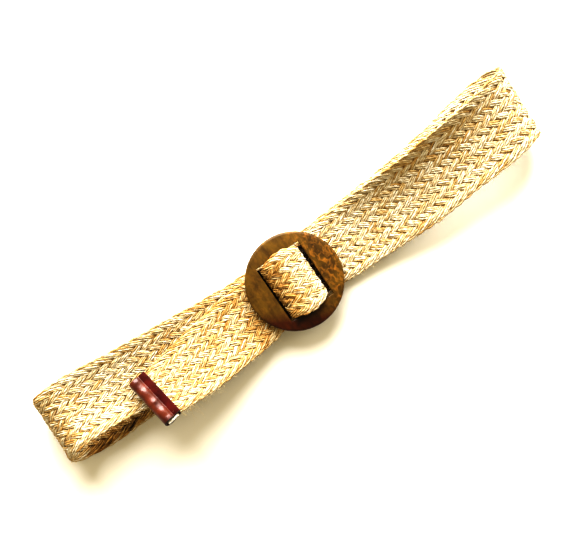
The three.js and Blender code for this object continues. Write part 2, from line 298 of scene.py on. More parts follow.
# The leather on the tip, in the tip's frame: x past the strap's end, z out of its face
TIP_END = np.array([-137.5, -13.9, 33.6])
TIP_BEFORE = np.array([-127.0, -12.3, 30.8])
TIP_TILT = -12
LEATHER_LONG = 40.5
LEATHER_THICK = 0.9
LEATHER_RINGS = 110
LEATHER_SHARP = 50
NOSE_RADIUS = 5.0
NOSE_MIDDLE = -1.4
NOSE_SWEEP = 142
NOSE_STEPS = 26
FLAP_END = -11.2
FLAP_HIGH = 3.15
FLAP_LINE = [  # distance from the flap's end, and how far under its height it is there
    (0, 0.5),
    (0.15, 0.16),
    (0.5, 0.03),
    (1.3, 0),
    (2.3, 0),
    (3.4, 0.02),
    (4.4, 0.05),
    (5.1, 0.08),
    (5.55, 0.14),
]
NEAR_SLANT_FACE = 0.09  # how much the leather's face is cut back at the near end
NEAR_SLANT_BACK = 0.26  # and how much its back runs on there
ROLL_FROM = -5.8  # where the dark flaps end and the glossy roll begins
END_WIDE = 0.7  # of the rounded edge at both ends
END_DROP = 0.3
PUCKER_LONG = 9.5  # from one pucker of the nose to the next
PUCKER_STRAYS = 0.9  # radians
PUCKER_DEEP = 0.27
CREASE_WAVES = (5, 24, 5)  # as for the yarns
CREASE_DEEP = 0.15
CREASED_AT = 18  # points of the outline before the nose's front, where it is creased most
CREASED_WIDE = 6.5  # points
CREASED_SUNK = 0.35  # how much lower the leather lies there
LEATHER_UNEVEN = 0.05  # everywhere else too
EDGE_LOOK = 1  # the places of the leather's materials
FLAP_LOOK = 2
EDGE_ROWS = 2  # of faces at the near end that show the dark cut edge

# Materials. Colours are linear red, green and blue, and a ramp's stops have their places first.
WHITE = (1.0, 1.0, 1.0)
BLACK = (0.0, 0.0, 0.0)
STRAW = [
    # the first stop, near black, is for straw with painted shade
    (0.0, (0.02, 0.008, 0.002)),
    (0.28, (0.42, 0.26, 0.08)),
    (0.45, (0.5, 0.395, 0.2)),
    (0.67, (0.595, 0.57, 0.465)),
    (0.9, (0.67, 0.68, 0.66)),
]
STRAW_TONE = 0.2  # of straw whose tint, shade and slubs are all 0
TINT_WEIGHT = 0.35
SHADE_WEIGHT = 0.3
SLUB_WEIGHT = 0.35
FIBRE_STRETCH = (0.35, 9.0, 1.0)  # along the yarn, round it
SLUB_STRETCH = (0.55, 1.6, 1.0)
STREAKS = [(0.34, (0.72, 0.57, 0.38)), (0.58, WHITE)]
# painted shade in the grooves between a yarn's plies
PLY_GROOVE_SHADE = [(0.0, (0.76, 0.66, 0.5)), (0.35, WHITE)]
# painted shade deep in the braid
CREVICE_SHADE = [(0.1, (0.7, 0.52, 0.24)), (0.65, WHITE)]
LOOSE_STRAW = [(0.35, (0.55, 0.4, 0.18)), (0.65, (0.85, 0.78, 0.55))]
WOOD = [
    (0.3, (0.025, 0.008, 0.001)),
    (0.46, (0.066, 0.033, 0.003)),
    (0.66, (0.13, 0.071, 0.007)),
]
WOOD_STRETCH = (260.0, 30.0, 120.0)  # along the belt, across it, up
PATCH_WEIGHT = 0.65
GRAIN_WEIGHT = 0.35
FLECK_STRETCH = (1.0, 0.6, 1.0)
AMBER = (0.38, 0.17, 0.022, 1)
FLECKS = [(0.47, BLACK), (0.75, WHITE)]
FLECKS_TO_RIGHT = [(0.1, (0.15, 0.15, 0.15)), (0.6, (0.8, 0.8, 0.8))]
# painted shade toward the near rim, where the disc faces away from the lamps
NEAR_RIM_SHADE = [(0.72, WHITE), (0.98, (0.42, 0.14, 0.1))]
RIM_SHADE_ACROSS = 1.9  # how much more the painted shade grows across the belt than along it
RIM_SHADE_GROWS = -0.46
# painted shadow that the strap's near edge casts on the face
STRAP_SHADOW = (0.2, 0.12, 0.08)
STRAP_SHADOW_ACROSS = [(0.6, WHITE), (0.72, STRAP_SHADOW), (0.88, STRAP_SHADOW), (0.97, WHITE)]
STRAP_SHADOW_ALONG = [(0.2, WHITE), (0.27, STRAP_SHADOW), (0.48, STRAP_SHADOW), (0.62, WHITE)]
ROLL_RED = [(0.35, (0.05, 0.004, 0.001)), (0.65, (0.12, 0.02, 0.005))]
FLAP_RED = [(0.35, (0.03, 0.001, 0.0005)), (0.65, (0.08, 0.006, 0.003))]
CUT_EDGE = [(0.3, (0.004, 0.002, 0.002)), (0.8, (0.02, 0.008, 0.006))]
TARNISH = [(0.35, (0.6, 0.58, 0.54)), (0.6, (0.8, 0.79, 0.76))]
BRUSHED_ROUGHNESS = [(0.3, (0.22, 0.22, 0.22)), (0.7, (0.42, 0.42, 0.42))]
BRUSH_STRETCH = (300.0, 6000.0, 6000.0)
TABLE = (0.66, 0.66, 0.65, 1)
MIX_COLOURS = (6, 7)  # the places of the Mix node's sockets for colours
MIX_RESULT = 2

rng = np.random.default_rng(7)

# A yarn's rings of points, how far out of the strap each point lies, and for each ring its
# distance along the yarn and how much darker its straw is made, by painted shade and darker straw
Yarn = namedtuple("Yarn", "rings lie run dark")


# The strap's path


def filled(rows):
    """Rows as an array, with no curl where a row gives none."""
    return np.array([(*row, 0)[:ROW_LONG] for row in rows], float)


def turned_with_disc(y, z):
    """Places across and up in the buckle's own frame, turned and lifted with it."""
    turn = math.radians(DISC_TILT)
    up = y * math.sin(turn) + z * math.cos(turn) + DISC_UNDERSIDE
    return y * math.cos(turn) - z * math.sin(turn), up


def from_buckle(rows):
    """Rows given in the buckle's own frame, turned and lifted with it."""
    rows = filled(rows)
    rows[:, 1], rows[:, 2] = turned_with_disc(rows[:, 1], rows[:, 2])
    rows[:, TILT] += DISC_TILT
    return rows


def unit(vectors):
    """Vectors with their lengths made 1."""
    return vectors / np.linalg.norm(vectors, axis=-1, keepdims=True)


def spline(points, at):
    """Places and directions on the centripetal spline through points, at row numbers."""
    padded = np.vstack([2 * points[0] - points[1], points, 2 * points[-1] - points[-2]])
    low = np.clip(np.floor(at).astype(int), 0, len(points) - 2)
    w = (at - low)[:, None]
    p0, p1, p2, p3 = (padded[low + k] for k in range(4))
    d0, d1, d2 = (
        np.sqrt(np.linalg.norm(b - a, axis=1))[:, None]
        for a, b in ((p0, p1), (p1, p2), (p2, p3))
    )
    t1 = ((p1 - p0) / d0 - (p2 - p0) / (d0 + d1) + (p2 - p1) / d1) * d1
    t2 = ((p2 - p1) / d1 - (p3 - p1) / (d1 + d2) + (p3 - p2) / d2) * d1
    c2 = 3 * (p2 - p1) - 2 * t1 - t2
    c3 = 2 * (p1 - p2) + t1 + t2
    place = p1 + t1 * w + c2 * w**2 + c3 * w**3
    return place, unit(t1 + 2 * c2 * w + 3 * c3 * w**2)


class StrapPath:
    """The strap's middle, own directions and sizes, by distance along it in millimetres."""

    STEPS_PER_ROW = 60

    def __init__(self):
        rows = np.vstack(
            [from_buckle(SEWN_END), filled(LOOPS), from_buckle(OVER_BAR), filled(FREE_END)]
        )
        at = np.linspace(0, len(rows) - 1, (len(rows) - 1) * self.STEPS_PER_ROW + 1)
        sizes = [np.interp(at, range(len(rows)), column) for column in rows[:, 3:].T]
        self.wide, self.thick, tilt, self.cup, self.curl = sizes
        self.middle, along = spline(rows[:, :3], at)
        self.middle[:, 2] = np.maximum(self.middle[:, 2], self.thick / 2)
        tilt = np.radians(tilt)
        sideways = np.stack([0 * tilt, np.cos(tilt), np.sin(tilt)], 1)
        sideways = unit(sideways - along * (sideways * along).sum(1, keepdims=True))
        self.sideways = sideways
        self.out = np.cross(sideways, along)
        steps = np.linalg.norm(np.diff(self.middle, axis=0), axis=1)
        self.distance = np.concatenate([[0], np.cumsum(steps)])
        self.length = self.distance[-1]
        pitch = np.interp(self.distance, *zip(*PITCHES))
        self.passed = np.concatenate([[0], np.cumsum(steps / pitch[1:])])

    def strands_passed(self, distance):
        """How many strands have turned at one edge by a distance along the strap."""
        inside = np.interp(distance, self.distance, self.passed)
        beyond = distance - np.clip(distance, 0, self.length)
        return inside + beyond / PITCHES[0][1]

    def read(self, values, distance):
        """One of the arrays above at given distances along the strap."""
        if values.ndim == 1:
            return np.interp(distance, self.distance, values)
        columns = [
            np.interp(distance, self.distance, values[:, k]) for k in range(values.shape[1])
        ]
        return np.stack(columns, -1)

    def place(self, distance, share, height):
        """Points at a share of the half width and a height out of the middle, in mm."""
        half = self.read(self.wide, distance) / 2
        rise = self.read(self.cup, distance) * share**2 + height
        rise = rise + self.read(self.curl, distance) * np.maximum(share, 0) ** CURL_POWER
        return (
            self.read(self.middle, distance)
            + self.read(self.sideways, distance) * (share * half)[..., None]
            + self.read(self.out, distance) * rise[..., None]
        )


# Meshes and pieces


def ring_faces(rows, columns, closed_rows=False):
    """The quads of rings of equally many points, joined round each and from ring to ring."""
    row = np.arange(rows if closed_rows else rows - 1)[:, None]
    column = np.arange(columns)[None]
    next_row, next_column = (row + 1) % rows, (column + 1) % columns
    corners = [
        row * columns + column,
        row * columns + next_column,
        next_row * columns + next_column,
        next_row * columns + column,
    ]
    return np.stack(np.broadcast_arrays(*corners), -1).reshape(-1, 4)


def mesh_from(name, points, faces):
    """A smooth mesh from arrays of points and of faces with equally many corners."""
    mesh = bpy.data.meshes.new(name)
    corners = faces.shape[1]
    mesh.vertices.add(len(points))
    mesh.vertices.foreach_set("co", np.ascontiguousarray(points, np.float32).ravel())
    mesh.loops.add(faces.size)
    mesh.loops.foreach_set("vertex_index", np.ascontiguousarray(faces, np.int32).ravel())
    mesh.polygons.add(len(faces))
    mesh.polygons.foreach_set("loop_start", np.arange(len(faces), dtype=np.int32) * corners)
    mesh.update(calc_edges=True)
    mesh.validate()
    mesh.polygons.foreach_set("use_smooth", np.ones(len(mesh.polygons), bool))
    return mesh


def add_piece(name, mesh, looks, slot, *nodes):
    """A shown piece that rides on the belt and stands for the CAD nodes named."""
    piece = bpy.data.objects.new(name, mesh)
    bpy.context.scene.collection.objects.link(piece)
    for look in looks:
        mesh.materials.append(look)
    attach(piece, "root")
    if nodes:
        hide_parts(*nodes)


# The yarns of the braid


def wander(distance, count, waves, longest, shortest):
    """Smooth noise of about -1 to 1 along each of count lines."""
    total = np.zeros((count, len(distance)))
    for _ in range(waves):
        length = rng.uniform(shortest, longest, (count, 1))
        start = rng.uniform(0, 2 * math.pi, (count, 1))
        total += np.sin(2 * math.pi * distance[None] / length + start)
    return total / math.sqrt(2 * waves)


def strand_line(path, strand):
    """Distance along the strap, place across it and height of a strand's middle, in mm."""
    margin = 2 * YARN_STEP
    distance = np.arange(-margin, path.length + margin, YARN_STEP)
    turns = (path.strands_passed(distance) - strand) / (STRANDS / 2)
    leg = np.floor(turns)
    share = turns - leg
    rising = np.where(leg % 2 == 0, 1.0, -1.0)
    column = 2 * BRAID_WIDE / STRANDS
    from_turn = np.minimum(share, 1 - share) * STRANDS / 2
    sharp = column * from_turn
    half = BRAID_WIDE / 2
    excess = math.hypot(half, TURN_ROUND) - half
    rounded = np.sqrt(sharp**2 + TURN_ROUND**2) - excess * sharp / half
    across = np.where(share < 0.5, -1.0, 1.0) * rising * (half - rounded)
    lane = 2 * across / column - 1
    over = np.tanh(OVER_LEVEL * np.cos(math.pi / 2 * lane)) / math.tanh(OVER_LEVEL)
    height = BRAID_RISE * over * rising * np.tanh(from_turn / TURN_SINK)
    distance = distance + across * np.interp(distance, *zip(*LEANS))
    return distance, across, height


def above(values, start, over):
    """0 up to a start, and 1 from a distance past it."""
    return np.clip((values - start) / over, 0, 1)


def below(values, start, over):
    """0 down to a start, and 1 from a distance past it."""
    return np.clip((start - values) / over, 0, 1)


def painted_shade(points):
    """How much shade is painted on the straw in the buckle's slots, under the left loop and on the
    right one.
    """
    x, y, z = points.T
    inside = np.abs(x) < OPENING_ALONG / 2 + SLOT_BEYOND
    inside &= np.abs(y) < OPENING_ACROSS / 2 + SLOT_BEYOND
    inside &= (np.abs(x) > BAR_WIDE / 2) & (z > SLOT_FLOOR)
    slots = inside * below(z, *SLOT_BELOW)
    slots = slots * np.maximum(above(z, *SLOT_ABOVE), below(np.abs(y), *SLOT_WITHIN))
    loop = below(x, *UNDER_LOOP_LEFT_OF) * below(z, *UNDER_LOOP_BELOW)
    loop = loop * above(y, *UNDER_LOOP_FROM) * below(y, *UNDER_LOOP_TO)
    hollow = above(z, *HOLLOW_ABOVE) * above(x, *HOLLOW_FROM) * below(x, *HOLLOW_TO)
    hollow = hollow * above(y, *HOLLOW_NEAR) * below(y, *HOLLOW_FAR)
    return SLOT_PAINTED_SHADE * slots + UNDER_LOOP_PAINTED_SHADE * loop + HOLLOW_PAINTED_SHADE * hollow


def yarn_tube(path, distance, share, height, size):
    """A yarn along a line of places on the strap. Its size there is a share of the usual."""
    thick = path.read(path.thick, distance) / NOMINAL_THICK
    middle = path.place(distance, share, height * thick)
    along = unit(np.gradient(middle, axis=0))
    out = path.read(path.out, distance)
    out = unit(out - along * (out * along).sum(1, keepdims=True))
    beside = np.cross(along, out)
    spread = path.read(path.wide, distance) / NOMINAL_WIDE
    wide = YARN_HALF_WIDE * size * np.clip(spread, *YARN_WIDENS)
    high = YARN_HALF_THICK * size * thick
    angle = np.linspace(0, 2 * math.pi, YARN_SIDES, endpoint=False)
    rings = (
        middle[:, None]
        + beside[:, None] * (wide[:, None] * np.cos(angle))[..., None]
        + out[:, None] * (high[:, None] * np.sin(angle))[..., None]
    )
    rings[..., 2] = np.maximum(rings[..., 2], CLEAR_OF_FLOOR)
    lie = (height[:, None] + YARN_HALF_THICK * np.sin(angle)) / (BRAID_RISE + YARN_HALF_THICK)
    steps = np.linalg.norm(np.diff(middle, axis=0), axis=1)
    run = np.concatenate([[0], np.cumsum(steps)])
    # painted shade and darker straw by distance, and painted shade in the slots and on the loops
    dark = np.interp(distance, *zip(*SHADE_AND_BROWNING)) + painted_shade(middle)
    return Yarn((rings + BELT_SHIFT) * MM, lie, run, dark)


def strand_yarns(path, strand):
    """The yarns of one strand, side by side along its line."""
    distance, across, height = strand_line(path, strand)
    slope = np.gradient(across, distance)
    bow = np.sqrt(1 + slope**2)
    sway = wander(distance, 1, *STRAND_WAVES)[0]
    drift = wander(distance, YARNS, *YARN_WAVES)
    lift = wander(distance, YARNS, *YARN_WAVES)
    swell = wander(distance, YARNS, *SWELL_WAVES)
    gathered = YARN_APART_INSIDE + YARN_APART_OUTSIDE * np.abs(height) / BRAID_RISE
    yarns = []
    for k in range(YARNS):
        lane = k - (YARNS - 1) / 2
        apart = YARN_APART * lane * gathered * (1 + STRAND_OPENS * sway)
        apart = apart + YARN_DRIFT * drift[k] + STRAND_SWAY * sway
        at = np.clip(distance - apart * slope / bow, 0, path.length)
        share = (across + apart / bow) / BRAID_HALF
        lies = height * (1 - YARN_DROOP * lane**2 / BRAID_RISE) + YARN_LIFT * lift[k]
        yarns.append(yarn_tube(path, at, share, lies, 1 + YARN_SWELL * swell[k]))
    return yarns


def tube_uvs(run, sides):
    """Each face corner's distance along a tube, and its share of the way round it."""
    side = np.arange(sides)[None, :, None]
    around = np.concatenate([side, side + 1, side + 1, side], -1) / sides
    begin, end = run[:-1, None, None], run[1:, None, None]
    lengthwise = np.concatenate([begin, begin, end, end], -1)
    return np.stack(np.broadcast_arrays(lengthwise, around), -1).reshape(-1, 2)


def yarn_mesh(name, yarns, tints):
    """One mesh of many yarns, with UVs in millimetres and the yarns' values on its points."""
    points, faces, uvs = [], [], []
    values = {"lie": [], "tint": [], "shade": []}
    start = 0
    for yarn, tint in zip(yarns, tints):
        count, sides = yarn.lie.shape
        # the yarn's own lightness along it, less its painted shade and darker straw
        shade = SHADE_SWING * wander(yarn.run, 1, *SHADE_WAVES)[0] + SHADE_MEAN - yarn.dark
        points.append(yarn.rings.reshape(-1, 3))
        faces.append(ring_faces(count, sides) + start)
        uvs.append(tube_uvs(yarn.run, sides))
        values["lie"].append(yarn.lie.ravel())
        values["tint"].append(np.full(count * sides, tint))
        values["shade"].append(np.repeat(shade, sides))
        start += count * sides
    mesh = mesh_from(name, np.concatenate(points), np.concatenate(faces))
    layer = mesh.uv_layers.new(name="run")
    layer.data.foreach_set("uv", np.concatenate(uvs).astype(np.float32).ravel())
    for label, parts in values.items():
        attribute = mesh.attributes.new(label, "FLOAT", "POINT")
        attribute.data.foreach_set("value", np.concatenate(parts).astype(np.float32))
    return mesh


def add_yarns(path, look):
    """The braid, in several pieces with equally many yarns."""
    yarns = [yarn for strand in range(STRANDS) for yarn in strand_yarns(path, strand)]
    count = len(yarns)
    tints = rng.uniform(0, 1, count)
    for part in range(YARN_PIECES):
        chosen = slice(part * count // YARN_PIECES, (part + 1) * count // YARN_PIECES)
        name = f"yarns_{part + 1}"
        mesh = yarn_mesh(name, yarns[chosen], tints[chosen])
        add_piece(name, mesh, [look], "braid", "strap")


# Loose fibres


def fibre_mesh(name, roots, leans, bends, lengths):
    """Thin curved fibres from roots, each leaning one way and bending another."""
    share = np.linspace(0, 1, FIBRE_STEPS + 1)[None, :, None]
    lengths = lengths[:, None, None]
    middle = roots[:, None] + lengths * (leans[:, None] * share + bends[:, None] * share**2)
    middle[..., 2] = np.maximum(middle[..., 2], 2 * FIBRE_RADIUS)
    along = unit(np.gradient(middle, axis=1))
    beside = unit(np.cross(along, FIBRE_UP))
    out = np.cross(along, beside)
    angle = np.linspace(0, 2 * math.pi, FIBRE_SIDES, endpoint=False)
    radius = FIBRE_RADIUS * (1 - FIBRE_TAPER * share)[..., None]
    rings = middle[:, :, None] + radius * (
        beside[:, :, None] * np.cos(angle)[:, None] + out[:, :, None] * np.sin(angle)[:, None]
    )
    faces = ring_faces(FIBRE_STEPS + 1, FIBRE_SIDES)
    starts = np.arange(len(roots)) * (FIBRE_STEPS + 1) * FIBRE_SIDES
    faces = (faces[None] + starts[:, None, None]).reshape(-1, 4)
    return mesh_from(name, (rings.reshape(-1, 3) + BELT_SHIFT) * MM, faces)


def add_short_fibres(path, look):
    """Fibres on both faces and both edges, all along the strap."""
    distance = rng.uniform(0, path.length, FIBRES)
    on_edge = rng.uniform(size=FIBRES) < FIBRE_SHARE_ON_EDGES
    edge = rng.choice([-1.0, 1.0], FIBRES)
    face = rng.choice([-1.0, 1.0], FIBRES)
    share = np.where(on_edge, EDGE_PLACE * edge, rng.uniform(-FACE_PLACE, FACE_PLACE, FIBRES))
    height = np.where(on_edge, EDGE_HEIGHT, FACE_HEIGHT) * face * path.read(path.thick, distance)
    roots = path.place(distance, share, height)
    out = path.read(path.out, distance) * face[:, None]
    beside = path.read(path.sideways, distance) * edge[:, None]
    away = np.where(on_edge[:, None], beside + EDGE_RISE * out, FACE_RISE * out)
    leans = unit(away + rng.normal(0, FIBRE_SPREAD, (FIBRES, 3)))
    bends = rng.normal(0, FIBRE_BEND, (FIBRES, 3))
    lengths = rng.uniform(*FIBRE_LENGTHS, FIBRES)
    clear = np.hypot(roots[:, 0], roots[:, 1]) > CLEAR_OF_BUCKLE
    mesh = fibre_mesh("fibres", roots[clear], leans[clear], bends[clear], lengths[clear])
    add_piece("fibres", mesh, [look], "braid")


def add_long_fibres(path, look):
    """Longer fibres on the near edge, close to the tip."""
    start, stop = (path.length - before for before in LONG_FIBRE_STRETCH)
    distance = rng.uniform(start, stop, LONG_FIBRES)
    height = rng.uniform(*LONG_FIBRE_HEIGHTS, LONG_FIBRES)
    roots = path.place(distance, np.full(LONG_FIBRES, -EDGE_PLACE), height)
    leans = unit(LONG_FIBRE_AWAY + rng.normal(0, LONG_FIBRE_SPREAD, (LONG_FIBRES, 3)))
    bends = rng.normal(0, LONG_FIBRE_BEND, (LONG_FIBRES, 3))
    lengths = rng.uniform(*LONG_FIBRE_LENGTHS, LONG_FIBRES)
    mesh = fibre_mesh("long_fibres", roots, leans, bends, lengths)
    add_piece("long_fibres", mesh, [look], "braid")


# The buckle


def loop_mesh(name, rings, closed_rows):
    """A mesh of rings of points given in millimetres."""
    rings = np.asarray(rings)
    faces = ring_faces(*rings.shape[:2], closed_rows)
    return mesh_from(name, rings.reshape(-1, 3) * MM, faces)


def disc_place(points):
    """From the disc's own frame to the belt's."""
    x, y, z = np.moveaxis(np.asarray(points, float), -1, 0)
    return np.stack([x, *turned_with_disc(y, z)], -1) + BELT_SHIFT


def opening_edge(angle, grow):
    """Where a ray at an angle leaves the opening, grown by a distance."""
    half_x, half_y = OPENING_ALONG / 2 + grow, OPENING_ACROSS / 2 + grow
    with np.errstate(divide="ignore"):
        reach = np.minimum(half_x / np.abs(np.cos(angle)), half_y / np.abs(np.sin(angle)))
    return reach[:, None] * np.stack([np.cos(angle), np.sin(angle)], 1)


def disc_angles():
    """The directions of the points of a ring, with the opening's corners among them."""
    corner = math.atan2(OPENING_ACROSS, OPENING_ALONG)
    corners = [corner, math.pi - corner, math.pi + corner, 2 * math.pi - corner]
    return np.unique(np.append(np.linspace(0, 2 * math.pi, DISC_SIDES, endpoint=False), corners))


def face_fall(points):
    """How far the disc's face has fallen away at points on it."""
    radius = np.linalg.norm(points, axis=1)
    share = np.clip((radius - FLAT_RADIUS + DISC_FALL_WIDE) / DISC_FALL_WIDE, 0, 1)
    return DISC_FALL * share**2


def level_ring(points, height):
    """Points in a plane as a ring at one height, or at a height for each."""
    return np.column_stack([points, np.broadcast_to(height, len(points))])


def rim_rings(circle):
    """The rim, from the face's edge round to the back's."""
    rings = []
    for step in range(1, RIM_STEPS + 1):
        bend = math.pi / 2 * step / RIM_STEPS
        radius = FLAT_RADIUS + DISC_EDGE * math.sin(bend)
        drop = (DISC_EDGE - DISC_FALL / 2) * (1 - math.cos(bend))
        rings.append(level_ring(radius * circle, DISC_THICK - DISC_FALL - drop))
    for step in range(RIM_STEPS + 1):
        bend = math.pi / 2 * (1 - step / RIM_STEPS)
        radius = FLAT_RADIUS + DISC_EDGE * math.sin(bend)
        rings.append(level_ring(radius * circle, DISC_EDGE * (1 - math.cos(bend))))
    return rings


def disc_mesh():
    """The disc as closed rings that run over its face, round its rim and through its opening."""
    angle = disc_angles()
    circle = np.stack([np.cos(angle), np.sin(angle)], 1)
    inner, outer = opening_edge(angle, OPENING_BEVEL), FLAT_RADIUS * circle
    rings = []
    for share in np.linspace(0, 1, FACE_RINGS):
        points = inner + (outer - inner) * share
        rings.append(level_ring(points, DISC_THICK - face_fall(points)))
    rings.extend(rim_rings(circle))
    for share in np.linspace(1, 0, BACK_RINGS)[1:]:
        rings.append(level_ring(inner + (outer - inner) * share, 0))
    for height in (OPENING_BEVEL, DISC_THICK / 2, DISC_THICK - OPENING_BEVEL):
        rings.append(level_ring(opening_edge(angle, 0), height))
    mesh = loop_mesh("wooden_disc", disc_place(rings), closed_rows=True)
    mesh.flip_normals()
    mesh.set_sharp_from_angle(angle=math.radians(DISC_SHARP))
    return mesh


def bar_mesh():
    """The flat bar across the disc's opening, under the strap."""
    angle = np.linspace(0, 2 * math.pi, BAR_SIDES, endpoint=False)
    half_wide = BAR_WIDE / 2 - BAR_EDGE
    half_thick = BAR_THICK / 2 - BAR_EDGE
    x = np.sign(np.cos(angle)) * half_wide + BAR_EDGE * np.cos(angle)
    z = np.sign(np.sin(angle)) * half_thick + BAR_EDGE * np.sin(angle) + BAR_THICK / 2
    half_long = OPENING_ACROSS / 2 + BAR_INTO_DISC
    rings = [
        np.column_stack([x, np.full(BAR_SIDES, y), z])
        for y in np.linspace(-half_long, half_long, BAR_RINGS)
    ]
    return loop_mesh("wooden_bar", disc_place(rings), closed_rows=False)


# The leather on the tip


def tip_basis():
    """The tip's own directions: past the end, across the strap and out of its face."""
    along = unit(TIP_END - TIP_BEFORE)
    tilt = math.radians(TIP_TILT)
    sideways = np.array([0, math.cos(tilt), math.sin(tilt)])
    sideways = unit(sideways - along * (sideways @ along))
    out = np.cross(sideways, along)
    return along, np.cross(out, along), out


def leather_section():
    """The leather's outer line from one flap's end round the nose to the other, and its inner."""
    sweep = np.radians(np.linspace(NOSE_SWEEP, 0, NOSE_STEPS))
    nose = np.stack([NOSE_MIDDLE + NOSE_RADIUS * np.cos(sweep), NOSE_RADIUS * np.sin(sweep)], 1)
    run, drop = np.array(FLAP_LINE).T
    flap = np.stack([FLAP_END + run, FLAP_HIGH - drop], 1)
    half = np.vstack([flap, nose])
    outer = np.vstack([half, half[-2::-1] * (1, -1)])
    course = np.gradient(outer, axis=0)
    normal = unit(np.stack([-course[:, 1], course[:, 0]], 1))
    inner = outer - normal * LEATHER_THICK
    first_flap, last_flap = slice(0, len(flap)), slice(len(outer) - len(flap), None)
    for rows, side in ((first_flap, 1), (last_flap, -1)):
        inner[rows] = outer[rows] - (0, side * LEATHER_THICK)
    return outer, inner, normal


def leather_pushes(outer, stations):
    """How far the outer line is pushed out at each station, by puckers, creases and the ends."""
    half = LEATHER_LONG / 2
    creases, unevenness, strays = wander(stations * half, 3, *CREASE_WAVES)
    puckers = np.sin(2 * math.pi * stations * half / PUCKER_LONG + PUCKER_STRAYS * strays)
    point = np.arange(len(outer)) - len(outer) // 2
    creased = np.exp(-(((point + CREASED_AT) / CREASED_WIDE) ** 2))
    pushes = []
    for k, share in enumerate(stations):
        inwards = np.clip((1 - abs(share)) * half / END_WIDE, 0, 1)
        round_off = END_DROP * (1 - math.sqrt(1 - (1 - inwards) ** 2))
        depth = PUCKER_DEEP * puckers[k] + CREASE_DEEP * creases[k] - CREASED_SUNK
        pushes.append(creased * depth - round_off + LEATHER_UNEVEN * unevenness[k])
    return pushes


def leather_rings():
    """The leather's rings of points, from its far end to its near one, which is cut on a slant."""
    outer, inner, normal = leather_section()
    along, across, out = tip_basis()
    stations = np.linspace(-1, 1, LEATHER_RINGS)
    rings = []
    for share, push in zip(stations, leather_pushes(outer, stations)):
        both = np.vstack([outer + normal * push[:, None], inner[::-1]])
        slant = np.where(both[:, 1] > 0, NEAR_SLANT_FACE, NEAR_SLANT_BACK)
        long = LEATHER_LONG / 2 - max(share, 0) * slant * both[:, 1]
        place = TIP_END + both[:, :1] * along + both[:, 1:] * out + BELT_SHIFT
        rings.append(place + (share * long)[:, None] * across)
    return rings


def close_ends(mesh, around):
    """Closes the leather between its two lines at both ends, and marks its cut edges."""
    ends = bmesh.new()
    ends.from_mesh(mesh)
    ends.verts.ensure_lookup_table()
    ends.faces.ensure_lookup_table()
    for face in ends.faces[-EDGE_ROWS * around :]:
        face.material_index = EDGE_LOOK
    for first, flip in ((0, False), ((LEATHER_RINGS - 1) * around, True)):
        for j in range(around // 2 - 1):
            corners = [j, j + 1, around - 2 - j, around - 1 - j]
            if flip:
                corners.reverse()
            face = ends.faces.new([ends.verts[first + c] for c in corners])
            face.material_index = EDGE_LOOK
    bmesh.ops.recalc_face_normals(ends, faces=ends.faces)
    ends.to_mesh(mesh)
    ends.free()


def leather_mesh():
    """The rolled leather, with creases across its nose, dark cut edges and flatter flaps."""
    outer, inner, _ = leather_section()
    mesh = loop_mesh("leather_roll", leather_rings(), closed_rows=False)
    on_flap = np.append(outer[:, 0], inner[::-1, 0]) < ROLL_FROM
    mesh.polygons.foreach_set("material_index", np.tile(FLAP_LOOK * on_flap, LEATHER_RINGS - 1))
    close_ends(mesh, len(on_flap))
    mesh.polygons.foreach_set("use_smooth", np.ones(len(mesh.polygons), bool))
    mesh.set_sharp_from_angle(angle=math.radians(LEATHER_SHARP))
    return mesh


# Materials


